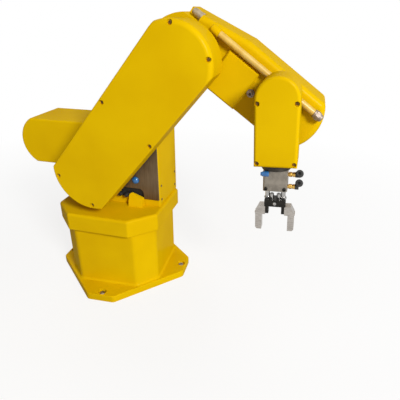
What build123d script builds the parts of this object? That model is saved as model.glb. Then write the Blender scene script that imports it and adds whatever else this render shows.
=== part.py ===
from build123d import *
import os
from math import atan2, cos, pi, radians, sin, sqrt

# Benchtop industrial robot arm, five turning axes and a two-finger air gripper.
# Frame: origin on the floor under the waist axis, +Z up, +X along the reach,
# +Y across the arm. The upper arm and the wrist hang on the -Y side of the tower.
# All lengths are in millimetres, all angles in degrees.

# Foot and pedestal
foot_lip = 6.0
foot_corner_cut = 33.0
foot_corner_radius = 9.0
foot_edge = 1.5
foot_thickness = 12.0
foot_turn = 47.9
foot_hole_inset = 23.3
foot_hole_diameter = 9.0
foot_counterbore_diameter = 14.0
foot_counterbore_depth = 5.0
pedestal_side = 190.0
pedestal_corner_cut = 74.0
pedestal_corner_radius = 12.0
pedestal_height = 113.0
foot_blend = 4.0

# Waist and turret skirt
waist_seam = 2.0
waist_spigot_diameter = 80.0
waist_spigot_depth = 36.0
waist_ring_outer_diameter = 150.0
skirt_side = 182.0
skirt_corner_cut = 37.5
skirt_height = 30.0
skirt_edge = 4.5
skirt_lower_edge = 1.5
skirt_corner_radius = 5.0

# Tower: column, side plate and rear housing
tower_front_y = -26.0
tower_back_y = 60.0
column_front_x = 86.0
column_rear_x = -42.0
column_height = 136.0
column_shoulder_radius = 12.0
column_edge = 2.0
side_plate_thickness = 2.0
side_plate_foot = 12.0
side_plate_margin = 1.0
cable_opening_width = 44.0
cable_opening_height = 18.0
cable_opening_x = 36.0
cable_opening_depth = 22.0
cable_opening_radius = 9.0
cable_insert_recess = 3.0
hood_rear_x = 33.0
hood_length = 25.5
hood_reach = 11.0
hood_crest = 2.0
hood_toe = 1.5
hood_height = 24.5
hood_drop = 10.0
hood_radius = 5.0
port_x = 45.0
port_rise = 45.0
port_diameter = 12.0
port_height = 5.0
port_edge = 1.6
port_stem_diameter = 6.0
housing_height = 77.0
housing_length = 124.0
housing_end_radius = 44.0
housing_edge = 3.0
housing_seam = 1.2

# Upper arm
shoulder_rise = 79.5
arm_length = 204.6
arm_angle = 49.5
arm_half_width = 49.8
arm_shoulder_radius = 63.0
arm_elbow_radius = 57.5
arm_back_y = -40.0
arm_front_y = -92.0
arm_cover_thickness = 9.0
arm_cover_edge = 2.0
arm_elbow_rim = 7.0
arm_screw_spread = 37.4
arm_elbow_screw_inset = 4.8
arm_shoulder_screw_inset = 6.2
arm_side_screw_inset = 5.5
arm_pocket_diameter = 7.0
cover_pocket_depth = 4.0
cover_groove = 0.8
shoulder_shaft_diameter = 40.0
shoulder_shaft_length = 66.0
shoulder_boss_diameter = 62.0

# Forearm
elbow_s = -147.68
elbow_t = -34.27
forearm_angle = -36.0
forearm_half_width = 42.0
forearm_end_radius = 59.3
forearm_end_corner = 10.0
forearm_front_edge = 8.0
forearm_front_y = -24.0
forearm_back_y = 46.0
forearm_edge = 4.0
forearm_knee_s = -90.0
forearm_rear_drop = 17.0
forearm_hump_s = -185.5
forearm_rear_radius = 64.0
forearm_ledge_depth = 30.0
forearm_ledge_s = -162.0
elbow_shaft_diameter = 32.0
elbow_shaft_length = 56.0
elbow_collar_diameter = 52.0
panel_thickness = 6.0
panel_edge = 2.0
panel_rear_s = -105.5
panel_front_s = -53.0
panel_top_t = 18.5
hose_diameter = 9.0
hose_t = 26.0
hose_start_s = -128.0
hose_end_s = 36.0
hose_fitting_length = 14.0
hose_fitting_diameter = 13.0
air_port_s = -47.0
air_port_t = -9.0
air_port_diameter = 12.0
air_port_height = 9.0
air_port_nut_height = 4.5
air_port_stem_diameter = 8.0
gland_y = -8.0
gland_diameter = 13.0
gland_dome_diameter = 10.6
gland_bore_diameter = 7.0
gland_nut_height = 4.0
gland_height = 17.0
gland_bore_depth = 6.0
back_cover_thickness = 4.0
back_cover_margin = 8.0

# Wrist block
wrist_angle = -87.0
wrist_half_width = 28.2
wrist_top = 26.0
wrist_length = 62.0
wrist_back_y = -42.0
wrist_front_y = -92.0
wrist_cover_thickness = 8.0
wrist_cover_edge = 4.0
wrist_pocket_diameter = 6.5
wrist_screw_side_inset = 4.0
wrist_screw_top_inset = 4.4
wrist_screw_foot_inset = 5.4
wrist_shaft_diameter = 22.0
wrist_shaft_length = 52.0
wrist_collar_diameter = 36.0

# Tool flange and gripper
flange_gap = 1.0
flange_diameter = 40.0
flange_thickness = 6.0
flange_stem_diameter = 20.0
flange_stem_length = 22.0
gripper_half_width = 16.5
gripper_depth = 26.0
gripper_length = 31.5
gripper_edge = 2.0
rod_diameter = 6.5
rod_offset = 11.0
rod_length = 15.5
guide_half_width = 14.5
guide_depth = 18.0
guide_length = 10.0
slot_lip = 4.0
slot_neck_half = 4.0
slot_head_half = 6.2
slot_roof = 2.0
jaw_inner = 9.0
jaw_thickness = 4.5
jaw_reach = 13.5
finger_depth = 14.0
finger_foot_width = 14.0
finger_foot_length = 13.5
finger_tip_width = 9.0
finger_length = 38.0
finger_top_cut = 5.0
finger_top_slope = 10.0
finger_tip_cut = 2.5
fitting_diameter = 7.0
fitting_length = 9.5
knob_diameter = 10.5
knob_length = 12.0
knob_neck_diameter = 8.0
knob_wall = 0.5
knob_tilt = 24.0
upper_fitting_drop = 10.0
lower_fitting_drop = 27.9
upper_knob_rise = 1.5
lower_knob_rise = 5.5
elbow_drop = 3.8
elbow_stem_diameter = 5.0
elbow_stem_depth = 5.0
elbow_stem_reach = 6.0
elbow_stem_across = -12.0
elbow_body_diameter = 7.0
elbow_body_length = 11.0
elbow_body_across = -8.0

# Clearances
running_clearance = 0.05
slide_clearance = 0.2
seat_gap = 0.3
joint_gap = 5.0

# Worked-out places
foot_side = pedestal_side + 2 * foot_lip
skirt_bottom_z = pedestal_height + waist_seam
deck_z = skirt_bottom_z + skirt_height
column_top_z = deck_z + column_height
port_z = deck_z + port_rise
shoulder_z = deck_z + shoulder_rise
plate_front_y = tower_front_y - side_plate_thickness
elbow_x = arm_length * cos(radians(arm_angle))
elbow_z = shoulder_z + arm_length * sin(radians(arm_angle))
wrist_x = elbow_x - elbow_s * cos(radians(forearm_angle)) + elbow_t * sin(radians(forearm_angle))
wrist_z = elbow_z - elbow_s * sin(radians(forearm_angle)) - elbow_t * cos(radians(forearm_angle))
wrist_centre_y = (wrist_front_y + wrist_back_y) / 2
housing_centre_z = column_top_z - housing_height / 2
gripper_top = wrist_length + flange_gap + flange_thickness
rods_top = gripper_top + gripper_length
guide_top = rods_top + rod_length
guide_bottom = guide_top + guide_length


def side_plane(x, z, angle, y):
    """Plane facing -Y at depth y, with its first axis turned up by angle from +X."""
    turn = radians(angle)
    return Plane(origin=(x, y, z), x_dir=(cos(turn), 0, sin(turn)), z_dir=(0, -1, 0))


def tower_plane(y):
    return side_plane(0, 0, 0, y)


def arm_plane(y):
    return side_plane(0, shoulder_z, arm_angle, y)


def forearm_plane(y):
    return side_plane(wrist_x, wrist_z, forearm_angle, y)


def wrist_plane(y):
    return side_plane(wrist_x, wrist_z, wrist_angle, y)


def local_point(plane, along, across):
    """Global point of a place on a side plane."""
    return plane.from_local_coords((along, across, 0))


def slab(plane, along, across, depth):
    """Block on a plane: two ranges on its axes, and a depth along its normal."""
    centre = Pos((along[0] + along[1]) / 2, (across[0] + across[1]) / 2)
    face = Rectangle(along[1] - along[0], across[1] - across[0])
    return extrude(plane * centre * face, depth)


def disc(plane, along, across, diameter, depth):
    """Round bar on a plane, standing out along its normal."""
    return extrude(plane * Pos(along, across) * Circle(diameter / 2), depth)


def bar(start, direction, diameter, length):
    """Round bar from a point along a direction."""
    return extrude(Plane(origin=start, z_dir=direction) * Circle(diameter / 2), length)


def chamfered_square(side, cut):
    """Square outline with its four corners cut at 45 degrees."""
    square = Rectangle(side, side)
    return chamfer(square.vertices(), cut)


def arm_outline():
    """Side view of the upper arm: two parallel sides and a shallow round end about each axis."""
    half = arm_half_width
    near = -sqrt(arm_shoulder_radius**2 - half**2)
    far = arm_length + sqrt(arm_elbow_radius**2 - half**2)
    upper_side = Line((near, half), (far, half))
    elbow_end = ThreePointArc((far, half), (arm_length + arm_elbow_radius, 0), (far, -half))
    lower_side = Line((far, -half), (near, -half))
    shoulder_end = ThreePointArc((near, -half), (-arm_shoulder_radius, 0), (near, half))
    return make_face([upper_side, elbow_end, lower_side, shoulder_end])


def front_edges(shape, y):
    """Edges of a shape that lie wholly in the plane at depth y."""
    return [edge for edge in shape.edges() if abs(edge.bounding_box().min.Y - y) < 0.01
            and abs(edge.bounding_box().max.Y - y) < 0.01]


def base_casting():
    """Foot with four bolt lugs, blended into an eight-sided pedestal with the waist bore."""
    turned = Plane.XY * Rot(0, 0, foot_turn)
    foot = extrude(turned * chamfered_square(foot_side, foot_corner_cut), foot_thickness)
    foot = fillet(foot.edges().filter_by(Axis.Z), foot_corner_radius)
    foot = fillet(foot.edges().group_by(Axis.Z)[-1], foot_edge)
    pedestal = extrude(turned * chamfered_square(pedestal_side, pedestal_corner_cut), pedestal_height)
    pedestal = fillet(pedestal.edges().filter_by(Axis.Z), pedestal_corner_radius)
    casting = foot + pedestal
    foot_top = casting.faces().filter_by(Axis.Z).group_by(Axis.Z)[-2][0]
    casting = fillet(foot_top.inner_wires().edges(), foot_blend)
    reach = foot_side / 2 - foot_hole_inset
    sink_z = foot_thickness - foot_counterbore_depth
    for x_side in (-1, 1):
        for y_side in (-1, 1):
            spot = turned * Pos(x_side * reach, y_side * reach)
            casting -= extrude(spot * Circle(foot_hole_diameter / 2), foot_thickness)
            sink = spot * Pos(0, 0, sink_z) * Circle(foot_counterbore_diameter / 2)
            casting -= extrude(sink, foot_counterbore_depth + foot_blend)
    bore_radius = waist_spigot_diameter / 2 + running_clearance
    bore_floor = pedestal_height - waist_spigot_depth - waist_seam
    casting -= extrude(Plane.XY.offset(bore_floor) * Circle(bore_radius), pedestal_height)
    return casting


def waist_ring():
    """Dark bearing ring that shows in the seam under the skirt."""
    outer = Circle(waist_ring_outer_diameter / 2)
    inner = Circle(waist_spigot_diameter / 2 + running_clearance)
    return extrude(Plane.XY.offset(pedestal_height) * (outer - inner), waist_seam - seat_gap)


def turret_skirt():
    """Chamfered turntable that carries the tower, with its spigot in the pedestal."""
    skirt = extrude(Plane.XY.offset(skirt_bottom_z) * chamfered_square(skirt_side, skirt_corner_cut),
                    skirt_height)
    skirt = fillet(skirt.edges().filter_by(Axis.Z), skirt_corner_radius)
    skirt = fillet(skirt.edges().group_by(Axis.Z)[-1], skirt_edge)
    skirt = fillet(skirt.edges().group_by(Axis.Z)[0], skirt_lower_edge)
    spigot_z = skirt_bottom_z - waist_spigot_depth
    spigot = extrude(Plane.XY.offset(spigot_z) * Circle(waist_spigot_diameter / 2), waist_spigot_depth)
    return skirt + spigot


def column_outline():
    """Side view of the column, with a round shoulder at its front top corner."""
    outline = Pos((column_rear_x + column_front_x) / 2, (deck_z + column_top_z) / 2) * Rectangle(
        column_front_x - column_rear_x, column_top_z - deck_z)
    corner = outline.vertices().sort_by(Axis.X)[-2:].sort_by(Axis.Y)[-1]
    return fillet(corner, column_shoulder_radius)


def cable_opening(y, depth):
    """Opening at the foot of the column's side, with round upper corners."""
    low = deck_z + side_plate_foot
    outline = Pos(cable_opening_x, low + cable_opening_height / 2) * Rectangle(
        cable_opening_width, cable_opening_height)
    upper = outline.vertices().sort_by(Axis.Y)[-2:]
    return extrude(tower_plane(y) * fillet(upper, cable_opening_radius), depth)


def column_body():
    """Painted tower column with the shoulder bore and a recess for the cable."""
    depth = tower_back_y - tower_front_y
    body = extrude(tower_plane(tower_back_y) * column_outline(), depth)
    upright = body.edges().filter_by(Axis.Z).group_by(Axis.X)[-1]
    body = fillet(upright, column_edge)
    bore_depth = shoulder_shaft_length - (plate_front_y - arm_back_y)
    bore = shoulder_shaft_diameter + 2 * running_clearance
    body -= disc(tower_plane(tower_front_y + bore_depth), 0, shoulder_z, bore, bore_depth)
    body -= cable_opening(tower_front_y + cable_opening_depth, cable_opening_depth)
    return body


def column_side_plate():
    """Bare metal plate that closes the column's side next to the upper arm."""
    outline = column_outline()
    outline = offset(outline, -side_plate_margin, kind=Kind.INTERSECTION)
    plate = extrude(tower_plane(tower_front_y) * outline, side_plate_thickness)
    foot_z = deck_z + side_plate_foot
    plate -= slab(tower_plane(tower_front_y), (2 * column_rear_x, 2 * column_front_x), (deck_z, foot_z),
                  side_plate_thickness)
    plate -= disc(tower_plane(tower_front_y), 0, shoulder_z, shoulder_boss_diameter, side_plate_thickness)
    plate -= cable_opening(tower_front_y, side_plate_thickness)
    plate -= disc(tower_plane(tower_front_y), port_x, port_z, port_stem_diameter, side_plate_thickness)
    return plate


def shoulder_bearing():
    """Bearing flange on the column around the shoulder shaft."""
    depth = tower_front_y - arm_back_y - joint_gap
    ring = disc(tower_plane(tower_front_y), 0, shoulder_z, shoulder_boss_diameter, depth)
    bore = shoulder_shaft_diameter + 2 * running_clearance
    return ring - disc(tower_plane(tower_front_y), 0, shoulder_z, bore, depth)


def cable_insert():
    """Black rubber insert that fills the cable opening, set back from the plate."""
    return cable_opening(tower_front_y + cable_opening_depth, cable_opening_depth - cable_insert_recess)


def cable_hood():
    """Painted ramp on the deck before the cable opening, sloped to the front and to the side."""
    front_x = hood_rear_x + hood_length
    outline = make_face(Polyline(
        (hood_rear_x, deck_z),
        (hood_rear_x, deck_z + hood_height),
        (front_x, deck_z + hood_height - hood_drop),
        (front_x, deck_z),
        close=True))
    upper = outline.vertices().sort_by(Axis.Y)[-2:]
    back_y = plate_front_y - seat_gap
    hood = extrude(tower_plane(back_y) * fillet(upper, hood_radius), hood_reach)
    section = make_face(Polyline(
        (back_y, deck_z),
        (back_y, deck_z + hood_height),
        (back_y - hood_crest, deck_z + hood_height),
        (back_y - hood_reach, deck_z + hood_toe),
        (back_y - hood_reach, deck_z),
        close=True))
    return hood & extrude(Plane.YZ.offset(hood_rear_x) * section, hood_length)


def blue_port():
    """Round push button port on the side plate, with its stem through the plate."""
    cap = disc(tower_plane(plate_front_y), port_x, port_z, port_diameter, port_height)
    cap = fillet(front_edges(cap, plate_front_y - port_height), port_edge)
    return cap + disc(tower_plane(tower_front_y), port_x, port_z, port_stem_diameter, side_plate_thickness)


def housing_outline():
    """Side view of the rear housing, with a shallow round rear end."""
    half = housing_height / 2
    rear_x = column_rear_x - housing_length
    corner_x = rear_x + housing_end_radius - sqrt(housing_end_radius**2 - half**2)
    top, bottom = housing_centre_z + half, housing_centre_z - half
    end = ThreePointArc((corner_x, top), (rear_x, housing_centre_z), (corner_x, bottom))
    sides = Polyline((corner_x, bottom), (column_rear_x, bottom), (column_rear_x, top), (corner_x, top))
    return make_face([end, *sides.edges()])


def rear_housing():
    """Drive housing behind the column, as deep as the tower, with a fine groove at the joint."""
    depth = tower_back_y - tower_front_y
    body = extrude(tower_plane(tower_back_y) * housing_outline(), depth)
    rims = front_edges(body, tower_front_y) + front_edges(body, tower_back_y)
    body = fillet([edge for edge in rims if edge.center().X < column_rear_x - 1], housing_edge)
    return chamfer(body.edges().group_by(Axis.X)[-1], housing_seam)


def upper_arm_casting():
    """Upper arm body behind its cover."""
    depth = arm_back_y - arm_front_y - arm_cover_thickness
    return extrude(arm_plane(arm_back_y) * arm_outline(), depth)


def arm_screw_places():
    """Places of the arm cover's six screws: two at each end and one half way up each side."""
    spread = radians(arm_screw_spread)
    elbow = arm_elbow_radius - arm_elbow_screw_inset
    shoulder = arm_shoulder_radius - arm_shoulder_screw_inset
    for side in (-1, 1):
        yield arm_length + elbow * cos(spread), side * elbow * sin(spread)
        yield arm_length / 2, side * (arm_half_width - arm_side_screw_inset)
        yield -shoulder * cos(spread), side * shoulder * sin(spread)


def upper_arm_cover():
    """Front cover of the upper arm, with a wide rim at the elbow and six screw pockets."""
    cover = extrude(arm_plane(arm_front_y + arm_cover_thickness) * arm_outline(), arm_cover_thickness)
    along_arm = Axis((0, 0, 0), arm_plane(0).x_dir)
    elbow_rim = ShapeList(front_edges(cover, arm_front_y)).sort_by(along_arm)[-1]
    cover = fillet(elbow_rim, arm_elbow_rim)
    rims = [edge for edge in front_edges(cover, arm_front_y)
            if arm_plane(0).to_local_coords(edge.center()).X < arm_length]
    cover = fillet(rims, arm_cover_edge)
    cover = chamfer(front_edges(cover, arm_front_y + arm_cover_thickness), cover_groove)
    floor = arm_plane(arm_front_y + cover_pocket_depth)
    for along, across in arm_screw_places():
        cover -= disc(floor, along, across, arm_pocket_diameter, cover_pocket_depth)
    return cover


def shaft(x, z, back_y, diameter, length):
    """Shaft across the arm, from a moving piece's inner face at back_y into its bore."""
    return disc(side_plane(x, z, 0, back_y + length), 0, 0, diameter, length)


def forearm_outline():
    """Side view of the forearm: round front end, sloped rear top, round rear end about the elbow."""
    half = forearm_half_width
    front_s = sqrt(forearm_end_radius**2 - half**2)
    rear = forearm_rear_radius
    rear_s = elbow_s - sqrt(rear**2 - (half + elbow_t)**2)
    hump_t = ledge_floor()
    start_angle = atan2(-half - elbow_t, rear_s - elbow_s) % (2 * pi)
    end_angle = atan2(hump_t - elbow_t, forearm_hump_s - elbow_s)
    middle = (start_angle + end_angle) / 2
    rear_end = ThreePointArc(
        (rear_s, -half),
        (elbow_s + rear * cos(middle), elbow_t + rear * sin(middle)),
        (forearm_hump_s, hump_t),
    )
    top = Polyline(
        (forearm_hump_s, hump_t),
        (forearm_hump_s, half - forearm_rear_drop),
        (forearm_knee_s, half),
        (front_s, half),
    )
    front_end = ThreePointArc((front_s, half), (forearm_end_radius, 0), (front_s, -half))
    bottom = Line((front_s, -half), (rear_s, -half))
    outline = make_face([rear_end, *top.edges(), front_end, bottom])
    end_corner = outline.vertices().sort_by(Axis.X)[-2:].sort_by(Axis.Y)[-1]
    return fillet(end_corner, forearm_end_corner)


def ledge_floor():
    """Level of the forearm's ledge, which is the top of its round rear end."""
    return elbow_t + sqrt(forearm_rear_radius**2 - (forearm_hump_s - elbow_s)**2)


def on_upper_rim(edge):
    """Whether an edge of the forearm's side belongs to its top or its front end."""
    place = forearm_plane(0).to_local_coords(edge.center())
    on_top = place.Y > forearm_half_width / 2 and place.X > forearm_ledge_s
    return on_top or place.X > forearm_end_radius / 2


def forearm_solid():
    """Forearm's outer form, with a ledge for the gland beside the upper arm."""
    depth = forearm_back_y - forearm_front_y
    body = extrude(forearm_plane(forearm_back_y) * forearm_outline(), depth)
    body = fillet(front_edges(body, forearm_back_y), forearm_edge)
    upper_rim = [edge for edge in front_edges(body, forearm_front_y) if on_upper_rim(edge)]
    body = fillet(upper_rim, forearm_front_edge)
    ledge_back = forearm_plane(forearm_front_y + forearm_ledge_depth)
    return body - slab(ledge_back, (forearm_hump_s - forearm_rear_radius, forearm_ledge_s),
                       (ledge_floor(), forearm_half_width), forearm_ledge_depth)


def forearm_casting():
    """Forearm body with the elbow bore at its rear and the wrist bore at its front."""
    body = forearm_solid()
    elbow_depth = elbow_shaft_length - (forearm_front_y - arm_back_y)
    elbow_bore = elbow_shaft_diameter + 2 * running_clearance
    body -= disc(forearm_plane(forearm_front_y + elbow_depth), elbow_s, elbow_t, elbow_bore, elbow_depth)
    wrist_depth = wrist_shaft_length - (forearm_front_y - wrist_back_y)
    wrist_bore = wrist_shaft_diameter + 2 * running_clearance
    body -= disc(forearm_plane(forearm_front_y + wrist_depth), 0, 0, wrist_bore, wrist_depth)
    return body


def forearm_collar(along, across, diameter, bore, mate_y):
    """Bearing collar on the forearm's front face, short of the piece that turns in it."""
    depth = forearm_front_y - mate_y - joint_gap
    ring = disc(forearm_plane(forearm_front_y), along, across, diameter, depth)
    return ring - disc(forearm_plane(forearm_front_y), along, across, bore + 2 * running_clearance, depth)


def forearm_panel():
    """Proud cover on the lower part of the forearm's front face."""
    panel = slab(forearm_plane(forearm_front_y), (panel_rear_s, panel_front_s),
                 (-forearm_half_width, panel_top_t), panel_thickness)
    return chamfer(front_edges(panel, forearm_front_y - panel_thickness), panel_edge)


def forearm_back_cover():
    """Flat cover on the forearm's far side."""
    outline = offset(forearm_outline(), -back_cover_margin, kind=Kind.INTERSECTION)
    return extrude(forearm_plane(forearm_back_y + back_cover_thickness) * outline, back_cover_thickness)


def hose_axis_y():
    return forearm_front_y - hose_fitting_diameter / 2


def air_hose():
    """Straight air hose along the forearm's front, between its two fittings."""
    start = local_point(forearm_plane(hose_axis_y()), hose_start_s, hose_t)
    direction = forearm_plane(0).x_dir
    return bar(start, direction, hose_diameter, hose_end_s - hose_start_s)


def hose_fitting(along, toward):
    """Round fitting at one end of the hose, resting on the forearm's face."""
    start = local_point(forearm_plane(hose_axis_y()), along, hose_t)
    return bar(start, toward * forearm_plane(0).x_dir, hose_fitting_diameter, hose_fitting_length)


def air_port():
    """Hexagonal metal port beside the panel's end."""
    seat = forearm_plane(forearm_front_y) * Pos(air_port_s, air_port_t)
    nut = extrude(seat * RegularPolygon(air_port_diameter / 2, 6), air_port_nut_height)
    return nut + extrude(seat * Circle(air_port_stem_diameter / 2), air_port_height)


def conduit_gland():
    """Cable gland on the wall of the forearm's ledge: a hexagon and a bored dome."""
    plane = forearm_plane(gland_y)
    centre_t = ledge_floor() + gland_diameter / 2 + seat_gap
    wall = Plane(origin=local_point(plane, forearm_ledge_s, centre_t), z_dir=-plane.x_dir)
    nut = extrude(wall * RegularPolygon(gland_diameter / 2, 6), gland_nut_height)
    dome = extrude(wall * Circle(gland_dome_diameter / 2), gland_height)
    bore_start = wall.offset(gland_height - gland_bore_depth)
    return nut + dome - extrude(bore_start * Circle(gland_bore_diameter / 2), gland_bore_depth)


def wrist_outline():
    """Front view of the wrist block: round top, straight sides and a flat foot."""
    straight = Pos((wrist_length - wrist_top) / 2, 0) * Rectangle(
        wrist_length + wrist_top, 2 * wrist_half_width)
    return straight + Pos(-wrist_top, 0) * Circle(wrist_half_width)


def wrist_casting():
    """Wrist block behind its cover, with the roll bore up through its foot."""
    depth = wrist_back_y - wrist_front_y - wrist_cover_thickness
    body = extrude(wrist_plane(wrist_back_y) * wrist_outline(), depth)
    foot = local_point(wrist_plane(wrist_centre_y), wrist_length, 0)
    bore = flange_stem_diameter + 2 * running_clearance
    return body - bar(foot, -wrist_plane(0).x_dir, bore, flange_stem_length)


def wrist_cover():
    """Front cover of the wrist block, with a rounded rim and four screw pockets."""
    cover = extrude(wrist_plane(wrist_front_y + wrist_cover_thickness) * wrist_outline(),
                    wrist_cover_thickness)
    cover = fillet(front_edges(cover, wrist_front_y), wrist_cover_edge)
    cover = chamfer(front_edges(cover, wrist_front_y + wrist_cover_thickness), cover_groove)
    floor = wrist_plane(wrist_front_y + cover_pocket_depth)
    for along in (wrist_screw_top_inset - wrist_top, wrist_length - wrist_screw_foot_inset):
        for side in (-1, 1):
            cover -= disc(floor, along, side * (wrist_half_width - wrist_screw_side_inset),
                          wrist_pocket_diameter, cover_pocket_depth)
    return cover


def tool_point(along, across, depth=0):
    """Point of the tool: along the roll axis, across it, and in front of it."""
    return local_point(wrist_plane(wrist_centre_y - depth), along, across)


def tool_block(along, across, half_depth):
    """Block of the tool, centred on the roll axis in depth."""
    return slab(wrist_plane(wrist_centre_y + half_depth), along, across, 2 * half_depth)


def elbow_stem():
    """Stem of the blue elbow, from a blind hole in the gripper body forwards."""
    start = tool_point(gripper_top + elbow_drop, elbow_stem_across, gripper_depth / 2 - elbow_stem_depth)
    return bar(start, (0, -1, 0), elbow_stem_diameter, elbow_stem_depth + elbow_stem_reach)


def tool_flange():
    """Round roll flange under the wrist block, with its stem in the block."""
    down = wrist_plane(0).x_dir
    plate = bar(tool_point(wrist_length + flange_gap, 0), down, flange_diameter, flange_thickness)
    stem = bar(tool_point(wrist_length + flange_gap, 0), -down, flange_stem_diameter, flange_stem_length)
    return plate + stem


def gripper_body():
    """Air cylinder body of the gripper."""
    body = tool_block((gripper_top, rods_top), (-gripper_half_width, gripper_half_width),
                      gripper_depth / 2)
    body = chamfer(body.edges().filter_by(Axis((0, 0, 0), wrist_plane(0).x_dir)), gripper_edge)
    return body - elbow_stem()


def guide_rods():
    """Pair of plated rods between the gripper body and the jaw guide."""
    down = wrist_plane(0).x_dir
    return Part() + [bar(tool_point(rods_top, side * rod_offset), down, rod_diameter, rod_length)
                     for side in (-1, 1)]


def jaw_guide():
    """Black guide with a T slot in which both jaws slide."""
    across = (-guide_half_width, guide_half_width)
    guide = tool_block((guide_top, guide_bottom), across, guide_depth / 2)
    guide -= tool_block((guide_top + slot_roof, guide_bottom - slot_lip), across, slot_head_half)
    guide -= tool_block((guide_top + slot_roof, guide_bottom), across, slot_neck_half)
    return guide


def across_range(side, inner, width):
    """Range across the tool on one side of its axis."""
    return (inner, inner + width) if side > 0 else (-inner - width, -inner)


def jaw(side):
    """Sliding jaw: T head in the guide and a prong below it."""
    across = across_range(side, jaw_inner, jaw_thickness)
    head_top = guide_top + slot_roof + slide_clearance
    head = tool_block((head_top, guide_bottom - slot_lip - slide_clearance), across,
                      slot_head_half - slide_clearance)
    prong = tool_block((head_top, guide_bottom + jaw_reach), across, slot_neck_half - slide_clearance)
    return head + prong


def finger(side):
    """L-shaped aluminium finger bolted to the outside of its prong."""
    top = guide_bottom + slide_clearance
    bottom = top + finger_length
    inner = jaw_inner + jaw_thickness
    outer = inner + finger_foot_width
    tip_inner = outer - finger_tip_width
    corners = [
        (top, inner),
        (top, outer - finger_top_cut),
        (top + finger_top_slope, outer),
        (bottom - finger_tip_cut, outer),
        (bottom, outer - finger_tip_cut),
        (bottom, tip_inner),
        (top + finger_foot_length, tip_inner),
        (top + finger_foot_length, inner),
    ]
    outline = make_face(Polyline([(along, side * across) for along, across in corners], close=True))
    return extrude(wrist_plane(wrist_centre_y) * outline, finger_depth / 2, both=True)


def air_fitting(drop):
    """Brass fitting on the gripper's side."""
    start = tool_point(gripper_top + drop, gripper_half_width)
    return bar(start, wrist_plane(0).y_dir, fitting_diameter, fitting_length)


def fitting_knob(drop, rise):
    """Black elbow on a brass fitting: a neck and a round port that looks forward and up."""
    outward = wrist_plane(0).y_dir
    upward = -wrist_plane(0).x_dir
    start = tool_point(gripper_top + drop, gripper_half_width + fitting_length)
    neck = bar(start, outward, knob_neck_diameter, knob_diameter / 2)
    centre = start + outward * (knob_diameter / 2 + knob_wall) + upward * rise
    facing = Vector(0, -1, 0) * cos(radians(knob_tilt)) + upward * sin(radians(knob_tilt))
    return neck + bar(centre - facing * (knob_length / 2), facing, knob_diameter, knob_length)


def blue_fitting():
    """Blue push-in elbow on the gripper body, with its port to the left."""
    start = tool_point(gripper_top + elbow_drop, elbow_body_across, gripper_depth / 2 + elbow_stem_reach)
    return elbow_stem() + bar(start, -wrist_plane(0).y_dir, elbow_body_diameter, elbow_body_length)


pieces = {
    "base_casting": base_casting(),
    "waist_ring": waist_ring(),
    "turret_skirt": turret_skirt(),
    "column_body": column_body(),
    "column_side_plate": column_side_plate(),
    "shoulder_bearing": shoulder_bearing(),
    "cable_insert": cable_insert(),
    "cable_hood": cable_hood(),
    "blue_port": blue_port(),
    "rear_housing": rear_housing(),
    "upper_arm_casting": upper_arm_casting(),
    "upper_arm_cover": upper_arm_cover(),
    "shoulder_shaft": shaft(0, shoulder_z, arm_back_y, shoulder_shaft_diameter, shoulder_shaft_length),
    "elbow_shaft": shaft(elbow_x, elbow_z, arm_back_y, elbow_shaft_diameter, elbow_shaft_length),
    "forearm_casting": forearm_casting(),
    "elbow_collar": forearm_collar(elbow_s, elbow_t, elbow_collar_diameter, elbow_shaft_diameter,
                                   arm_back_y),
    "wrist_collar": forearm_collar(0, 0, wrist_collar_diameter, wrist_shaft_diameter, wrist_back_y),
    "forearm_panel": forearm_panel(),
    "forearm_back_cover": forearm_back_cover(),
    "air_hose": air_hose(),
    "hose_rear_fitting": hose_fitting(hose_start_s, -1),
    "hose_front_fitting": hose_fitting(hose_end_s, 1),
    "air_port": air_port(),
    "conduit_gland": conduit_gland(),
    "wrist_casting": wrist_casting(),
    "wrist_cover": wrist_cover(),
    "wrist_shaft": shaft(wrist_x, wrist_z, wrist_back_y, wrist_shaft_diameter, wrist_shaft_length),
    "tool_flange": tool_flange(),
    "gripper_body": gripper_body(),
    "guide_rods": guide_rods(),
    "jaw_guide": jaw_guide(),
    "upper_air_fitting": air_fitting(upper_fitting_drop),
    "lower_air_fitting": air_fitting(lower_fitting_drop),
    "upper_knob": fitting_knob(upper_fitting_drop, upper_knob_rise),
    "lower_knob": fitting_knob(lower_fitting_drop, lower_knob_rise),
    "blue_fitting": blue_fitting(),
    "left_jaw": jaw(-1),
    "left_finger": finger(-1),
    "right_jaw": jaw(1),
    "right_finger": finger(1),
}

os.makedirs("parts", exist_ok=True)
for name, shape in pieces.items():
    export_step(shape, f"parts/{name}.step")
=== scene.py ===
from math import cos, pi, radians, sin

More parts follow.
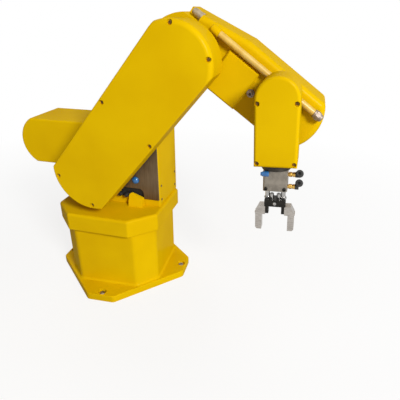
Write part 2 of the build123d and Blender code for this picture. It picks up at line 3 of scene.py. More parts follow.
import bmesh
import bpy
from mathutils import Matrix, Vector


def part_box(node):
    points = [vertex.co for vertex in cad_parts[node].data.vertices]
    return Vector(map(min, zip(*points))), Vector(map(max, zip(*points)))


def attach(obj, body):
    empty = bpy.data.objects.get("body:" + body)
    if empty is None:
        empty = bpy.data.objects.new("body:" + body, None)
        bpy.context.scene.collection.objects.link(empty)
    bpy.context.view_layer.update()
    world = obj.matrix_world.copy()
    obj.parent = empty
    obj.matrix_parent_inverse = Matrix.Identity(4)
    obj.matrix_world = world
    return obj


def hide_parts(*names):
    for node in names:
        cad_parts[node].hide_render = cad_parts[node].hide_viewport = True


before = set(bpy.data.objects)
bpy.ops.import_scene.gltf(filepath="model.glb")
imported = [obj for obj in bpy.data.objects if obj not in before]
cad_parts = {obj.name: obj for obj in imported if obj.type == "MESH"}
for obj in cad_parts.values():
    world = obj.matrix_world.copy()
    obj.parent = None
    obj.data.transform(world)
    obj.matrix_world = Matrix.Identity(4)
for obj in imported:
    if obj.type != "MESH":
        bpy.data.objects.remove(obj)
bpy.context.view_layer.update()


# Base casting. The foot, its four bolt lugs and the pedestal are one aluminium casting, sprayed
# with a satin yellow machine enamel that dries with a fine orange peel. It stands on its foot.

class Wire:
    """A node's output in one tree. Arithmetic on it adds Math nodes to that tree."""

    def __init__(self, tree, socket=None):
        self.tree = tree
        self.socket = socket

    def add(self, kind, settings=None, inputs=None, out=0):
        node = self.tree.nodes.new(kind)
        for name, value in (settings or {}).items():
            if name == "stops":
                for index, (place, shade) in enumerate(value):
                    stops = node.color_ramp.elements
                    stop = stops[index] if index < 2 else stops.new(place)
                    stop.position = place
                    stop.color = shade
            else:
                setattr(node, name, value)
        for name, value in (inputs or {}).items():
            if isinstance(value, Wire):
                self.tree.links.new(value.socket, node.inputs[name])
            else:
                node.inputs[name].default_value = value
        return Wire(self.tree, node.outputs[out] if node.outputs else None)

    def math(self, operation, first, second):
        return self.add("ShaderNodeMath", {"operation": operation}, {0: first, 1: second})

    def __add__(self, other):
        return self.math("ADD", self, other)

    def __sub__(self, other):
        return self.math("SUBTRACT", self, other)

    def __rsub__(self, other):
        return self.math("SUBTRACT", other, self)

    def __mul__(self, other):
        return self.math("MULTIPLY", self, other)

    __radd__ = __add__
    __rmul__ = __mul__


def shade(code):
    """Linear colour of a six-digit screen colour."""
    parts = [int(code[i:i + 2], 16) / 255 for i in (0, 2, 4)]
    linear = [p / 12.92 if p <= 0.04045 else ((p + 0.055) / 1.055) ** 2.4 for p in parts]
    return (*linear, 1.0)


def new_finish(name, **fixed):
    """A material, a wire into its tree and its shader, with the shader's fixed values set."""
    finish = bpy.data.materials.new(name)
    finish.use_nodes = True
    shader = finish.node_tree.nodes["Principled BSDF"]
    for label, value in fixed.items():
        shader.inputs[label.replace("_", " ").title().replace("Ior", "IOR")].default_value = value
    return finish, Wire(finish.node_tree), shader


def feed(shader, **varying):
    """Links what changes over the surface to the shader's sockets."""
    for label, wire in varying.items():
        wire.tree.links.new(wire.socket, shader.inputs[label.replace("_", " ").title()])


def object_place(tree):
    return tree.add("ShaderNodeTexCoord", out="Object")


def cloud(tree, place, size, detail):
    """Smooth noise whose patches are about size metres across."""
    return tree.add("ShaderNodeTexNoise", inputs={"Vector": place, "Scale": 1 / size, "Detail": detail},
                    out="Fac")


def between(tree, factor, low, high, start=0.35, end=0.65):
    """Colour that runs from low to high as the factor goes from start to end."""
    stops = [(start, shade(low)), (end, shade(high))]
    return tree.add("ShaderNodeValToRGB", {"stops": stops}, {"Fac": factor}, out="Color")


def relief(tree, height, depth, strength):
    """Normal of a surface whose relief is depth metres high."""
    return tree.add("ShaderNodeBump", inputs={"Height": height, "Distance": depth, "Strength": strength},
                    out="Normal")


def put_on(finish, *names):
    """Gives CAD nodes their finish."""
    for name in names:
        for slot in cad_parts[name].material_slots:
            slot.material = finish


def yellow_enamel():
    finish, tree, shader = new_finish("yellow_enamel", specular_ior_level=0.0, coat_weight=0.06,
                                      coat_roughness=0.25)
    place = object_place(tree)
    drift = cloud(tree, place, size=0.09, detail=3.0)
    peel = cloud(tree, place, size=0.0016, detail=1.0)
    grain = cloud(tree, place, size=0.0005, detail=1.0)
    feed(shader,
         base_color=between(tree, drift, "DAB002", "E2BA03"),
         roughness=0.40 + 0.10 * drift + 0.05 * grain,
         normal=relief(tree, peel + 0.25 * grain, depth=0.00012, strength=0.35))
    return finish


enamel = yellow_enamel()
put_on(enamel, "base_casting")


# Foot bolts. Zinc-plated socket cap screws hold the foot to the bench, one in each of its four
# counterbores, with the head just below the foot's face.

def zinc_plate():
    finish, tree, shader = new_finish("zinc_plate", metallic=1.0)
    place = object_place(tree)
    bloom = cloud(tree, place, size=0.004, detail=3.0)
    feed(shader,
         base_color=between(tree, bloom, "8C8174", "B0A598"),
         roughness=0.32 + 0.16 * bloom)
    return finish


def fastener_tree():
    """Chamfered heads with a key hole, or nuts with a bore, one on each point, all along one axis."""
    group = bpy.data.node_groups.new("fasteners", "GeometryNodeTree")
    group.interface.new_socket("Geometry", in_out="INPUT", socket_type="NodeSocketGeometry")
    group.interface.new_socket("Geometry", in_out="OUTPUT", socket_type="NodeSocketGeometry")
    for label, kind in (("Head Sides", "Int"), ("Head Radius", "Float"), ("Head Height", "Float"),
                        ("Key Sides", "Int"), ("Key Radius", "Float"), ("Key Depth", "Float"),
                        ("Axis", "Vector"), ("Finish", "Material")):
        group.interface.new_socket(label, in_out="INPUT", socket_type="NodeSocket" + kind)
    tree = Wire(group)

    def given(label):
        return tree.add("NodeGroupInput", out=label)

    def drum(sides, radius, depth):
        sizes = {"Vertices": sides, "Radius": radius, "Depth": depth}
        return tree.add("GeometryNodeMeshCylinder", inputs=sizes, out="Mesh")

    def lifted(mesh, height):
        lift = tree.add("ShaderNodeCombineXYZ", inputs={"Z": height})
        return tree.add("GeometryNodeTransform", inputs={"Geometry": mesh, "Translation": lift})

    radius, height, depth = given("Head Radius"), given("Head Height"), given("Key Depth")
    chamfer = 0.16 * radius
    spare = 0.05 * radius
    cone_sides = 40
    cone = tree.add("GeometryNodeMeshCone", inputs={
        "Vertices": cone_sides, "Radius Top": radius - chamfer - spare,
        "Radius Bottom": radius + height - chamfer + spare, "Depth": height + 2 * spare}, out="Mesh")
    head = tree.add("GeometryNodeMeshBoolean", {"operation": "INTERSECT", "solver": "EXACT"},
                    {"Mesh 2": lifted(drum(given("Head Sides"), radius, height), 0.5 * height)})
    group.links.new(lifted(cone, 0 - spare).socket, head.socket.node.inputs["Mesh 2"])
    key = lifted(drum(given("Key Sides"), given("Key Radius"), 2 * depth), height)
    head = tree.add("GeometryNodeMeshBoolean", {"operation": "DIFFERENCE", "solver": "EXACT"},
                    {"Mesh 1": head, "Mesh 2": key})
    turn = tree.add("FunctionNodeAlignRotationToVector", {"axis": "Z"}, {"Vector": given("Axis")})
    points = tree.add("GeometryNodeMeshToPoints", inputs={"Mesh": given("Geometry")})
    heads = tree.add("GeometryNodeInstanceOnPoints",
                     inputs={"Points": points, "Instance": head, "Rotation": turn})
    heads = tree.add("GeometryNodeRealizeInstances", inputs={"Geometry": heads})
    heads = tree.add("GeometryNodeSetMaterial", inputs={"Geometry": heads, "Material": given("Finish")})
    tree.add("NodeGroupOutput", inputs={"Geometry": heads})
    return group


fastener_group = fastener_tree()


def grown_mesh(name, source, tree, **values):
    """A plain mesh object, grown from a source mesh by a node tree with the given input values."""
    piece = bpy.data.objects.new(name, source)
    bpy.context.collection.objects.link(piece)
    modifier = piece.modifiers.new("grow", "NODES")
    modifier.node_group = tree
    for item in tree.interface.items_tree:
        label = item.name.lower().replace(" ", "_")
        if item.in_out == "INPUT" and label in values:
            modifier[item.identifier] = values[label]
    graph = bpy.context.evaluated_depsgraph_get()
    mesh = bpy.data.meshes.new_from_object(piece.evaluated_get(graph))
    piece.modifiers.remove(modifier)
    piece.data = mesh
    return piece


def smooth(piece):
    """Smooth shading that keeps the piece's sharp edges."""
    sharp_angle = 30
    piece.data.shade_smooth()
    piece.data.set_sharp_from_angle(angle=radians(sharp_angle))


def fasteners(name, body, places, axis, finish, radius, height, key, depth, sides=40, key_sides=6):
    """Screw heads or nuts that sit on the given places, point along the axis and ride on a body."""
    seats = bpy.data.meshes.new(name)
    seats.from_pydata(places, [], [])
    piece = grown_mesh(name, seats, fastener_group, axis=axis, finish=finish,
                       head_sides=sides, head_radius=radius, head_height=height,
                       key_sides=key_sides, key_radius=key, key_depth=depth)
    smooth(piece)
    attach(piece, body)


zinc = zinc_plate()
bolt_circle = 0.10988
bolt_turn = 2.9
bolt_seat_z = 0.0070
bolt_angles = [radians(bolt_turn + 90 * quarter) for quarter in range(4)]
bolt_places = [(bolt_circle * cos(angle), bolt_circle * sin(angle), bolt_seat_z) for angle in bolt_angles]
fasteners("foot_bolts", "base", bolt_places, (0, 0, 1), zinc,
          radius=0.0043, height=0.0034, key=0.0024, depth=0.0022)


# Waist ring. A turned and blackened steel ring lies in the seam between the pedestal and the
# turntable, where the tower's spigot runs in its bearing. The shoulder's bearing, the collars at the
# elbow and the wrist, and the flange that the gripper rolls on are blackened like it.

def dark_steel():
    finish, tree, shader = new_finish("dark_steel", metallic=1.0)
    place = object_place(tree)
    bloom = cloud(tree, place, size=0.012, detail=4.0)
    feed(shader,
         base_color=between(tree, bloom, "33302C", "4C4842"),
         roughness=0.34 + 0.2 * bloom,
         normal=relief(tree, cloud(tree, place, size=0.0006, detail=1.0), depth=0.00003, strength=0.4))
    return finish


blackened = dark_steel()
put_on(blackened, "waist_ring", "shoulder_bearing", "elbow_collar", "wrist_collar", "tool_flange")


# Turntable, column and rear housing. The tower is cast in three pieces that are bolted together
# and sprayed in one go, so that its joints show only as fine lines. Small button screws of
# yellow-passivated steel close the column's front. Their heads, like those of the cover screws,
# are coloured darker than the plating: painted shade of the screw pockets.

def yellow_zinc():
    finish, tree, shader = new_finish("yellow_zinc", metallic=0.3)
    place = object_place(tree)
    bloom = cloud(tree, place, size=0.002, detail=3.0)
    feed(shader,
         # The heads are coloured darker than yellow zinc plating. This is painted shade, standing in for
         # the shade inside their counterbores.
         base_color=between(tree, bloom, "5E4214", "7E5C20"),
         roughness=0.36 + 0.2 * bloom)
    return finish


gilt_with_painted_shade = yellow_zinc()
put_on(enamel, "turret_skirt", "column_body", "rear_housing")
column_face_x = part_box("column_body")[1].x
column_screw_sides, column_screw_levels = (-0.0172, 0.0505), (0.1550, 0.1800)
column_screws = [(column_face_x, y, z) for y in column_screw_sides for z in column_screw_levels]
fasteners("column_screws", "turret", column_screws, (1, 0, 0), gilt_with_painted_shade,
          radius=0.0022, height=0.0008, key=0.0011, depth=0.0006)


# Side plate. A sheet of bare rolled metal closes the column's side next to the upper arm; its
# rolling marks run up and down.

def rolled_plate():
    finish, tree, shader = new_finish("rolled_plate", metallic=1.0)
    place = object_place(tree)
    drawn = tree.add("ShaderNodeMapping", inputs={"Vector": place, "Scale": (1.0, 1.0, 0.04)})
    marks = cloud(tree, drawn, size=0.0012, detail=3.0)
    stain = cloud(tree, place, size=0.05, detail=3.0)
    feed(shader,
         base_color=between(tree, 0.5 * marks + 0.5 * stain, "665641", "84725A"),
         roughness=0.30 + 0.25 * marks,
         normal=relief(tree, marks, depth=0.00005, strength=0.4))
    return finish


put_on(rolled_plate(), "column_side_plate")


# Shafts. The shoulder, elbow and wrist turn on ground steel shafts, of which only a narrow band
# shows in the gap beside each bearing. Each ends in a small chamfer, just off its bore's floor.

def ground_steel():
    finish, tree, shader = new_finish("ground_steel", metallic=1.0)
    place = object_place(tree)
    drawn = tree.add("ShaderNodeMapping", inputs={"Vector": place, "Scale": (0.1, 1.0, 0.1)})
    marks = cloud(tree, drawn, size=0.0006, detail=2.0)
    feed(shader,
         base_color=between(tree, marks, "9B9A97", "BDBCB8"),
         roughness=0.18 + 0.18 * marks)
    return finish


def turned_mesh(name, stations, start, axis, finish):
    """A turned piece. Stations give height along the axis, radius and, for six flats, a 1."""
    points = 48
    flat = pi / 3
    face = Vector(axis).to_track_quat("Z", "Y")
    shape = bmesh.new()
    rings = []
    for height, radius, *hexagon in stations:
        ring = []
        for i in range(points):
            angle = 2 * pi * i / points
            reach = radius * cos(flat / 2) / cos(angle % flat - flat / 2) if hexagon else radius
            place = Vector((reach * cos(angle), reach * sin(angle), height))
            ring.append(shape.verts.new(Vector(start) + face @ place))
        rings.append(ring)
    for low, high in zip(rings, rings[1:]):
        for i in range(points):
            shape.faces.new((low[i - 1], low[i], high[i], high[i - 1]))
    shape.faces.new(rings[0])
    shape.faces.new(rings[-1])
    bmesh.ops.recalc_face_normals(shape, faces=shape.faces)
    mesh = bpy.data.meshes.new(name)
    shape.to_mesh(mesh)
    shape.free()
    mesh.materials.append(finish)
    return mesh


def fit_piece(name, mesh, body, slot, *nodes):
    """Puts a mesh in the scene on a body, in place of the CAD nodes that it stands for."""
    piece = bpy.data.objects.new(name, mesh)
    bpy.context.collection.objects.link(piece)
    smooth(piece)
    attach(piece, body)
    if nodes:
        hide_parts(*nodes)


steel = ground_steel()
shaft_slack = 0.0001
shaft_gap = 0.0006
shaft_chamfer = 0.0008
for joint, body in (("shoulder", "upper_arm"), ("elbow", "upper_arm"), ("wrist", "wrist")):
    low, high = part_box(joint + "_shaft")
    radius = (high.x - low.x) / 2 - shaft_slack
    length = high.y - low.y - shaft_gap
    shaft_stations = ((0, radius), (length - shaft_chamfer, radius), (length, radius - shaft_chamfer))
    seat = ((low.x + high.x) / 2, low.y, (low.z + high.z) / 2)
    pin = turned_mesh(joint + "_pin", shaft_stations, seat, (0, 1, 0), steel)
    fit_piece(joint + "_pin", pin, body, "shaft_steel", joint + "_shaft")


# Cable insert and hood. A black rubber block fills the opening at the column's foot, and a small
# painted hood stands before it on the turntable. Two ribbed cable plugs stick out of the block.

def black_rubber():
    finish, tree, shader = new_finish("black_rubber")
    place = object_place(tree)
    bloom = cloud(tree, place, size=0.006, detail=4.0)
    feed(shader,
         base_color=between(tree, bloom, "0E0D0C", "211F1C"),
         roughness=0.62 + 0.2 * bloom,
         normal=relief(tree, cloud(tree, place, size=0.0008, detail=2.0), depth=0.0001, strength=0.5))
    return finish


rubber = black_rubber()
put_on(rubber, "cable_insert")
put_on(enamel, "cable_hood")
insert_face_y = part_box("cable_insert")[0].y
plug_radius, groove_radius = 0.0036, 0.0029
groove_width, groove_slope = 0.0014, 0.0002
plug_stations = [(0, plug_radius)]
for groove in (0.0062, 0.0086):
    groove_end = groove + groove_width
    plug_stations += [(groove, plug_radius), (groove + groove_slope, groove_radius),
                      (groove_end - groove_slope, groove_radius), (groove_end, plug_radius)]
plug_stations += [(0.0112, plug_radius), (0.0128, 0.0026), (0.0132, 0.0010)]
for side, x, z, lean in (("left", 0.0195, 0.1640, -0.24), ("right", 0.0284, 0.1625, -0.05)):
    name = side + "_cable_plug"
    plug = turned_mesh(name, plug_stations, (x, insert_face_y, z), (lean, -1, 0), rubber)
    fit_piece(name, plug, "turret", "black_rubber")


# Blue port. A push-in air port, moulded in blue plastic, is screwed into the side plate and shows
# as a short round body with a domed cap.

def blue_plastic():
    finish, tree, shader = new_finish("blue_plastic", coat_weight=0.5, coat_roughness=0.08)
    place = object_place(tree)
    bloom = cloud(tree, place, size=0.005, detail=2.0)
    feed(shader,
         base_color=between(tree, bloom, "1C5F9E", "2A72B4"),
         roughness=0.2 + 0.1 * bloom)
    return finish


blue = blue_plastic()
plate_face_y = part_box("column_side_plate")[0].y
dome_stations = ((0, 0.0060), (0.0014, 0.0060), (0.0024, 0.0057), (0.0034, 0.0050), (0.0042, 0.0039),
                 (0.0047, 0.0027), (0.0049, 0.0014), (0.0050, 0.0003))
dome_x, dome_z = 0.0450, 0.1900
dome = turned_mesh("blue_dome", dome_stations, (dome_x, plate_face_y, dome_z), (0, -1, 0), blue)
fit_piece("blue_dome", dome, "turret", "blue_plastic", "blue_port")


# Upper arm. A cast box and its cover are sprayed together; six socket screws sit deep in
# counterbores along the cover's rim. The cover's face is left bare.

put_on(enamel, "upper_arm_casting", "upper_arm_cover")
cover_face_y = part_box("upper_arm_cover")[0].y


def side_place(axis_x, axis_z, angle, y):
    """Maker of points on an arm's side: along the arm from an axis, and across it."""
    turn = radians(angle)
    return lambda along, across: (axis_x + along * cos(turn) - across * sin(turn), y,
                                  axis_z + along * sin(turn) + across * cos(turn))


pocket_depth = 0.0040
shoulder_x, shoulder_z = 0.0, 0.2245
arm_angle = 49.5
arm_place = side_place(shoulder_x, shoulder_z, arm_angle, cover_face_y + pocket_depth)
arm_screw_rows = ((0.24646, 0.0320), (0.1023, 0.0443), (-0.0451, 0.0345))
arm_screws = [arm_place(along, side * across) for along, across in arm_screw_rows for side in (-1, 1)]
fasteners("arm_cover_screws", "upper_arm", arm_screws, (0, -1, 0), gilt_with_painted_shade,
          radius=0.0022, height=0.0014, key=0.0012, depth=0.0008)


# Forearm. The casting, its front panel and its far cover are sprayed yellow, with a boss round the
# elbow's bore, and six screws hold the far cover. A nickel-plated port beside the panel and a grey
# nylon cable gland on the ledge at the elbow are turned, with hexagons for a wrench.

def nickel_plate():
    finish, tree, shader = new_finish("nickel_plate", metallic=0.45)
    place = object_place(tree)
    bloom = cloud(tree, place, size=0.003, detail=3.0)
    feed(shader,
         base_color=between(tree, bloom, "84766A", "A29284"),
         roughness=0.44 + 0.12 * bloom)
    return finish


def grey_nylon():
    finish, tree, shader = new_finish("grey_nylon", coat_weight=0.1, coat_roughness=0.3)
    place = object_place(tree)
    bloom = cloud(tree, place, size=0.004, detail=3.0)
    feed(shader,
         base_color=between(tree, bloom, "98876A", "AD9E82"),
         roughness=0.42 + 0.12 * bloom,
         normal=relief(tree, cloud(tree, place, size=0.0004, detail=1.0), depth=0.00004, strength=0.4))
    return finish


wrist_x, wrist_z = 0.272496, 0.321001
forearm_angle = -36.0
forearm_front_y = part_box("forearm_casting")[0].y
forearm_back_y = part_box("forearm_back_cover")[1].y
forearm_axis = Vector((cos(radians(forearm_angle)), 0, sin(radians(forearm_angle))))
nickel = nickel_plate()
put_on(enamel, "forearm_casting", "forearm_panel", "forearm_back_cover")
forearm_place = side_place(wrist_x, wrist_z, forearm_angle, forearm_front_y)
elbow_along, elbow_across = -0.14768, -0.03427
elbow_bore, elbow_wall = 0.0162, 0.0230
bore_floor, boss_end, boss_pole = 0.0405, 0.0440, 0.0002
boss_stations = ((bore_floor, boss_pole), (bore_floor, elbow_bore), (0, elbow_bore), (0, elbow_wall),
                 (0.0410, elbow_wall), (0.0432, 0.0221), (boss_end, 0.0200), (boss_end, boss_pole))
elbow_seat = forearm_place(elbow_along, elbow_across)
boss = turned_mesh("elbow_boss", boss_stations, elbow_seat, (0, 1, 0), enamel)
fit_piece("elbow_boss", boss, "forearm", "yellow_paint")
back_place = side_place(wrist_x, wrist_z, forearm_angle, forearm_back_y)
back_screw_seats = ((0.022, 0.025), (0.022, -0.025), (-0.072, 0.026), (-0.072, -0.026),
                    (-0.150, 0.006), (-0.193, -0.040))
back_screws = [back_place(along, across) for along, across in back_screw_seats]
fasteners("back_cover_screws", "forearm", back_screws, (0, 1, 0), gilt_with_painted_shade,
          radius=0.0027, height=0.0022, key=0.0014, depth=0.0012)

port_along, port_across = -0.047, -0.009
port_seat = forearm_place(port_along, port_across)
port_stations = ((0, 0.0060, 1), (0.0036, 0.0060, 1), (0.0045, 0.0053), (0.0045, 0.0040),
                 (0.0082, 0.0040), (0.0090, 0.0033), (0.0090, 0.0021), (0.0030, 0.0021))
port_nut = turned_mesh("air_port_nut", port_stations, port_seat, (0, -1, 0), nickel)
fit_piece("air_port_nut", port_nut, "forearm", "nickel", "air_port")

gland_along, gland_across, gland_y = -0.162, 0.02416, -0.0080
gland_seat = side_place(wrist_x, wrist_z, forearm_angle, gland_y)(gland_along, gland_across)
gland_stations = ((0, 0.0065, 1), (0.0034, 0.0065, 1), (0.0040, 0.0057), (0.0040, 0.0049),
                  (0.0050, 0.0049), (0.0050, 0.0053), (0.0110, 0.0053), (0.0140, 0.0050),
                  (0.0162, 0.0044), (0.0170, 0.0039), (0.0170, 0.0035), (0.0110, 0.0035))
gland_nut = turned_mesh("conduit_gland_nut", gland_stations, gland_seat, -forearm_axis, grey_nylon())
fit_piece("conduit_gland_nut", gland_nut, "forearm", "grey_plastic", "conduit_gland")


# Air hose. A straight run of cream polyurethane hose lies along the forearm. It comes out of a
# painted ferrule behind the elbow and ends in a nickel-plated push-in fitting.

def cream_hose():
    finish, tree, shader = new_finish("cream_hose", coat_weight=0.1, coat_roughness=0.2)
    place = object_place(tree)
    bloom = cloud(tree, place, size=0.014, detail=3.0)
    feed(shader,
         base_color=between(tree, bloom, "D0A944", "DAB95C"),
         roughness=0.34 + 0.12 * bloom)
    return finish


put_on(cream_hose(), "air_hose")
hose_stand, hose_across = 0.0065, 0.026
hose_rear, hose_front = -0.128, 0.036
hose_place = side_place(wrist_x, wrist_z, forearm_angle, forearm_front_y - hose_stand)
ferrule_stations = ((0, 0.0052), (0.0008, 0.0064), (0.0100, 0.0065), (0.0126, 0.0058), (0.0140, 0.0040))
ferrule_seat = hose_place(hose_rear, hose_across)
ferrule = turned_mesh("hose_ferrule", ferrule_stations, ferrule_seat, -forearm_axis, enamel)
fit_piece("hose_ferrule", ferrule, "forearm", "yellow_paint", "hose_rear_fitting")
push_in_stations = ((0, 0.0050), (0.0006, 0.0055), (0.0026, 0.0055), (0.0034, 0.0065, 1),
                    (0.0086, 0.0065, 1), (0.0094, 0.0057), (0.0094, 0.0050), (0.0126, 0.0050),
                    (0.0140, 0.0036), (0.0140, 0.0020), (0.0100, 0.0020))
push_in_seat = hose_place(hose_front, hose_across)
push_in = turned_mesh("hose_end_fitting", push_in_stations, push_in_seat, forearm_axis, nickel)
fit_piece("hose_end_fitting", push_in, "forearm", "nickel", "hose_front_fitting")


# Wrist block. A cast block with its cover, sprayed like the arm and closed by four screws that
# sit in counterbores close to the cover's corners.

put_on(enamel, "wrist_casting", "wrist_cover")
wrist_face_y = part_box("wrist_cover")[0].y
wrist_angle = -87.0
wrist_place = side_place(wrist_x, wrist_z, wrist_angle, wrist_face_y + pocket_depth)
wrist_screw_levels, wrist_screw_offset = (-0.0216, 0.0566), 0.0242
wrist_screws = [wrist_place(along, side * wrist_screw_offset)
                for along in wrist_screw_levels for side in (-1, 1)]
fasteners("wrist_cover_screws", "wrist", wrist_screws, (0, -1, 0), gilt_with_painted_shade,
          radius=0.0021, height=0.0014, key=0.0011, depth=0.0008)


# Gripper. A grey anodised air cylinder, closed by two black screws, hangs under the roll flange. Two
# chromed rods with nuts at both ends carry a black guide, which three bright screws close. Brass
# fittings with black moulded elbows bring the air in at its side, and a small blue elbow at its front.

def grey_anodised():
    finish, tree, shader = new_finish("grey_anodised", metallic=0.85)
    place = object_place(tree)
    bloom = cloud(tree, place, size=0.01, detail=3.0)
    feed(shader,
         base_color=between(tree, bloom, "7C756B", "978F83"),
         roughness=0.38 + 0.12 * bloom,
         normal=relief(tree, cloud(tree, place, size=0.0004, detail=1.0), depth=0.00003, strength=0.4))
    return finish


def chrome():
    finish, tree, shader = new_finish("chrome", metallic=1.0)
    place = object_place(tree)
    bloom = cloud(tree, place, size=0.006, detail=2.0)
    feed(shader,
         base_color=between(tree, bloom, "9C9A97", "B9B7B4"),
         roughness=0.08 + 0.08 * bloom)
    return finish


def black_anodised():
    finish, tree, shader = new_finish("black_anodised", metallic=0.6)
    place = object_place(tree)
    bloom = cloud(tree, place, size=0.006, detail=3.0)
    feed(shader,
         base_color=between(tree, bloom, "14120F", "26231E"),
         roughness=0.34 + 0.16 * bloom,
         normal=relief(tree, cloud(tree, place, size=0.0004, detail=1.0), depth=0.00003, strength=0.4))
    return finish


def brass():
    finish, tree, shader = new_finish("brass", metallic=1.0)
    place = object_place(tree)
    bloom = cloud(tree, place, size=0.003, detail=3.0)
    feed(shader,
         base_color=between(tree, bloom, "B58B3C", "D5AE5E"),
         roughness=0.22 + 0.16 * bloom)
    return finish


def black_plastic():
    finish, tree, shader = new_finish("black_plastic", coat_weight=0.2, coat_roughness=0.2)
    place = object_place(tree)
    bloom = cloud(tree, place, size=0.005, detail=3.0)
    feed(shader,
         base_color=between(tree, bloom, "100F0E", "1D1B19"),
         roughness=0.36 + 0.14 * bloom,
         normal=relief(tree, cloud(tree, place, size=0.0005, detail=1.0), depth=0.00004, strength=0.4))
    return finish


def joined_mesh(name, first, second):
    """One closed mesh of two that overlap."""
    parts = [bpy.data.objects.new(name, mesh) for mesh in (first, second)]
    for part in parts:
        bpy.context.collection.objects.link(part)
    modifier = parts[0].modifiers.new("join", "BOOLEAN")
    modifier.operation = "UNION"
    modifier.solver = "EXACT"
    modifier.object = parts[1]
    graph = bpy.context.evaluated_depsgraph_get()
    mesh = bpy.data.meshes.new_from_object(parts[0].evaluated_get(graph))
    for part in parts:
        bpy.data.objects.remove(part)
    return mesh


tool_y = -0.0670
tool_down = Vector((cos(radians(wrist_angle)), 0, sin(radians(wrist_angle))))
tool_right = Vector((-tool_down.z, 0, tool_down.x))


def tool_point(along, across, depth=0.0):
    """Point of the tool: down its axis from the wrist, across it, and forward of it."""
    return Vector((wrist_x, tool_y - depth, wrist_z)) + tool_down * along + tool_right * across


body_top, body_foot, guide_top, guide_foot = 0.0690, 0.1005, 0.1160, 0.1260
body_half, body_front = 0.0165, 0.0130
guide_black = black_anodised()
bright_chrome = chrome()
golden = brass()
moulded_black = black_plastic()
put_on(grey_anodised(), "gripper_body")
put_on(bright_chrome, "guide_rods")
put_on(guide_black, "jaw_guide")

rod_offset, rod_radius = 0.0110, 0.00325
nut_height = 0.0030
rod_ends = (("upper", body_foot, tool_down), ("lower", guide_top, -tool_down))
for level, along, axis in rod_ends:
    nut_places = [tool_point(along, side * rod_offset) for side in (-1, 1)]
    fasteners(level + "_rod_nuts", "tool", nut_places, axis, bright_chrome,
              radius=0.0048, height=nut_height, key=rod_radius, depth=2 * nut_height,
              sides=6, key_sides=40)
corner_lift, corner_offset = 0.0036, 0.0125
corner_screws = [tool_point(body_foot - corner_lift, side * corner_offset, body_front) for side in (-1, 1)]
fasteners("cylinder_screws", "tool", corner_screws, (0, -1, 0), guide_black,
          radius=0.0025, height=0.0018, key=0.0013, depth=0.0011)
cap_offset, cap_front = 0.0048, 0.0010
cap_screws = [tool_point(guide_top, side * cap_offset, cap_front) for side in (-1, 1)]
fasteners("guide_cap_screws", "tool", cap_screws, -tool_down, bright_chrome,
          radius=0.0030, height=0.0080, key=0.0015, depth=0.0020)
guide_front = 0.0090
guide_middle = tool_point((guide_top + guide_foot) / 2, 0, guide_front)
fasteners("guide_screw", "tool", [guide_middle], (0, -1, 0), bright_chrome,
          radius=0.0023, height=0.0014, key=0.0012, depth=0.0009)

brass_length = 0.0095
brass_stations = ((0, 0.0027), (0.0010, 0.0027), (0.0012, 0.0035, 1), (0.0052, 0.0035, 1),
                  (0.0055, 0.0031), (0.0055, 0.0027), (0.0064, 0.0027), (0.0064, 0.0034),
                  (brass_length, 0.0034))
port_radius, port_half, port_stand = 0.00525, 0.0060, 0.0005
neck_stations = ((0, 0.0037), (0.0004, 0.0040), (port_radius, 0.0040))
elbow_stations = ((0, 0.0044), (0.0008, port_radius), (0.0102, port_radius), (0.0110, 0.0047),
                  (0.0110, 0.0039), (0.0120, 0.0037), (0.0120, 0.0022), (port_half, 0.0022))
port_tilt = radians(24.0)
port_axis = Vector((0, -cos(port_tilt), 0)) - tool_down * sin(port_tilt)
for level, drop, rise in (("upper", 0.0100, 0.0015), ("lower", 0.0279, 0.0055)):
    seat = tool_point(body_top + drop, body_half)
    fitting = turned_mesh(level + "_brass_fitting", brass_stations, seat, tool_right, golden)
    fit_piece(level + "_brass_fitting", fitting, "tool", "brass", level + "_air_fitting")
    neck_seat = tool_point(body_top + drop, body_half + brass_length)
    neck = turned_mesh(level + "_neck", neck_stations, neck_seat, tool_right, moulded_black)
    port_middle = neck_seat + tool_right * (port_radius + port_stand) - tool_down * rise
    port_start = port_middle - port_axis * port_half
    port = turned_mesh(level + "_port", elbow_stations, port_start, port_axis, moulded_black)
    elbow = joined_mesh(level + "_black_elbow", neck, port)
    fit_piece(level + "_black_elbow", elbow, "tool", "black_plastic", level + "_knob")

blue_drop, blue_reach = 0.0038, 0.0060
stem_across, arm_across = -0.0120, -0.0080
stem_stations = ((0, 0.0034, 1), (0.0018, 0.0034, 1), (0.0022, 0.0030), (0.0022, 0.0025),
                 (blue_reach, 0.0025))
blue_stations = ((0, 0.0028), (0.0007, 0.0035), (0.0086, 0.0035), (0.0092, 0.0030), (0.0092, 0.0027),
                 (0.0110, 0.0025), (0.0110, 0.0016), (0.0050, 0.0016))
stem_seat = tool_point(body_top + blue_drop, stem_across, body_front)
stem = turned_mesh("blue_stem", stem_stations, stem_seat, (0, -1, 0), blue)
arm_seat = tool_point(body_top + blue_drop, arm_across, body_front + blue_reach)
arm = turned_mesh("blue_arm", blue_stations, arm_seat, -tool_right, blue)
fit_piece("blue_elbow", joined_mesh("blue_elbow", stem, arm), "tool", "blue_plastic", "blue_fitting")


# Jaws and fingers. Black jaws slide in the guide; the fingers are milled from bright aluminium
# plate and screwed to the jaws' prongs.

def milled_aluminium():
    finish, tree, shader = new_finish("milled_aluminium", metallic=1.0)
    place = object_place(tree)
    drawn = tree.add("ShaderNodeMapping", inputs={"Vector": place, "Scale": (0.15, 1.0, 1.0)})
    marks = cloud(tree, drawn, size=0.0008, detail=2.0)
    feed(shader,
         base_color=between(tree, marks, "A29C95", "BCB6AF"),
         roughness=0.28 + 0.16 * marks,
         normal=relief(tree, marks, depth=0.00003, strength=0.4))
    return finish


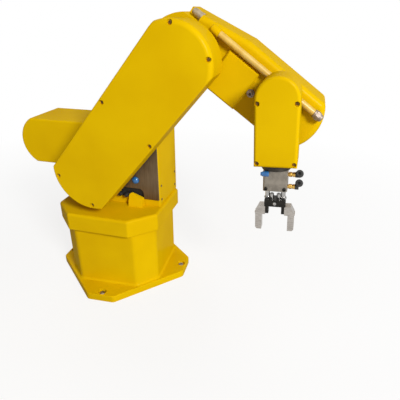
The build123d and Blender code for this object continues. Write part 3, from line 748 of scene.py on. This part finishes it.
put_on(guide_black, "left_jaw", "right_jaw")
put_on(milled_aluminium(), "left_finger", "right_finger")
finger_outer, finger_screw_drop, finger_screw_spread = 0.0275, 0.0122, 0.0036
for name, side in (("left", -1), ("right", 1)):
    places = [tool_point(guide_foot + finger_screw_drop, side * finger_outer, depth)
              for depth in (-finger_screw_spread, finger_screw_spread)]
    fasteners(name + "_finger_screws", name + "_finger_body", places, tool_right * side, zinc,
              radius=0.0019, height=0.0008, key=0.0010, depth=0.0005)


# Studio. A pale floor that keeps the shadow, a white surround, a soft lamp from the right, a
# weak one from behind and the camera at the photograph's place.

floor_half = 6.0
floor_mesh = bpy.data.meshes.new("floor")
floor_mesh.from_pydata([(-floor_half, -floor_half, 0), (floor_half, -floor_half, 0),
                        (floor_half, floor_half, 0), (-floor_half, floor_half, 0)], [], [(0, 1, 2, 3)])
floor = bpy.data.objects.new("floor", floor_mesh)
bpy.context.collection.objects.link(floor)
floor_finish = bpy.data.materials.new("pale_floor")
floor_finish.use_nodes = True
floor_tree = Wire(floor_finish.node_tree)
floor_finish.node_tree.nodes.clear()
seen = floor_tree.add("ShaderNodeLightPath", out="Is Camera Ray")
mirrored = floor_tree.add("ShaderNodeLightPath", out="Is Glossy Ray")
bounced = floor_tree.add("ShaderNodeLightPath", out="Is Diffuse Ray")
floor_pale, floor_dimming = 0.9, 0.4
paleness = floor_pale - floor_dimming * bounced
floor_shade = floor_tree.add("ShaderNodeCombineColor",
                             inputs={"Red": paleness, "Green": paleness, "Blue": paleness})
lit = floor_tree.add("ShaderNodeBsdfDiffuse", inputs={"Color": floor_shade})
white = floor_tree.add("ShaderNodeEmission", inputs={"Color": (1, 1, 1, 1), "Strength": 1.0})
distance = floor_tree.add("ShaderNodeVectorMath", {"operation": "LENGTH"},
                          {0: object_place(floor_tree)}, out="Value")
fade_start, fade_end = 0.25, 1.0
far = floor_tree.add("ShaderNodeMapRange", out="Result",
                     inputs={"Value": distance, "From Min": fade_start, "From Max": fade_end})
near_white, mirror_white = 0.8, 0.8
whiteness = seen * (near_white + (1 - near_white) * far) + mirror_white * mirrored
mixed = floor_tree.add("ShaderNodeMixShader", inputs={0: whiteness, 1: lit, 2: white})
floor_tree.add("ShaderNodeOutputMaterial", inputs={"Surface": mixed})
floor_mesh.materials.append(floor_finish)

world = bpy.data.worlds.new("studio")
bpy.context.scene.world = world
world.use_nodes = True
world.node_tree.nodes.clear()
sky = Wire(world.node_tree)
straight = sky.math("MAXIMUM", sky.add("ShaderNodeLightPath", out="Is Camera Ray"),
                    sky.add("ShaderNodeLightPath", out="Is Glossy Ray"))
straight = sky.math("MAXIMUM", straight, sky.add("ShaderNodeLightPath", out="Is Transmission Ray"))
ambient, ambient_green, ambient_blue = 0.22, 0.86, 0.7
warmth = sky.add("ShaderNodeCombineColor", inputs={
    "Red": 1.0, "Green": ambient_green + (1 - ambient_green) * straight,
    "Blue": ambient_blue + (1 - ambient_blue) * straight})
strength = ambient + (1 - ambient) * straight
glow = sky.add("ShaderNodeBackground", inputs={"Color": warmth, "Strength": strength})
sky.add("ShaderNodeOutputWorld", inputs={"Surface": glow})


def soft_lamp(name, place, target, size, watts):
    lamp = bpy.data.lights.new(name, "AREA")
    lamp.shape = "DISK"
    lamp.size = size
    lamp.energy = watts
    holder = bpy.data.objects.new(name, lamp)
    bpy.context.collection.objects.link(holder)
    holder.location = place
    holder.rotation_euler = (Vector(target) - Vector(place)).to_track_quat("-Z", "Y").to_euler()


arm_middle = (0.1, 0.0, 0.2)
soft_lamp("key_lamp", place=(1.91, -1.87, 1.70), target=arm_middle, size=0.8, watts=86.0)
soft_lamp("fill_lamp", place=(-1.40, 1.60, 2.40), target=arm_middle, size=1.5, watts=20.0)

camera = bpy.data.cameras.new("camera")
camera.sensor_width = 36.0
camera.lens = 35.1
camera_object = bpy.data.objects.new("camera", camera)
bpy.context.collection.objects.link(camera_object)
camera_object.location = (0.3084, -0.5782, 0.4460)
camera_object.rotation_euler = (radians(64.0), 0.0, radians(15.43))
bpy.context.scene.camera = camera_object
bpy.context.scene.view_settings.view_transform = "Standard"
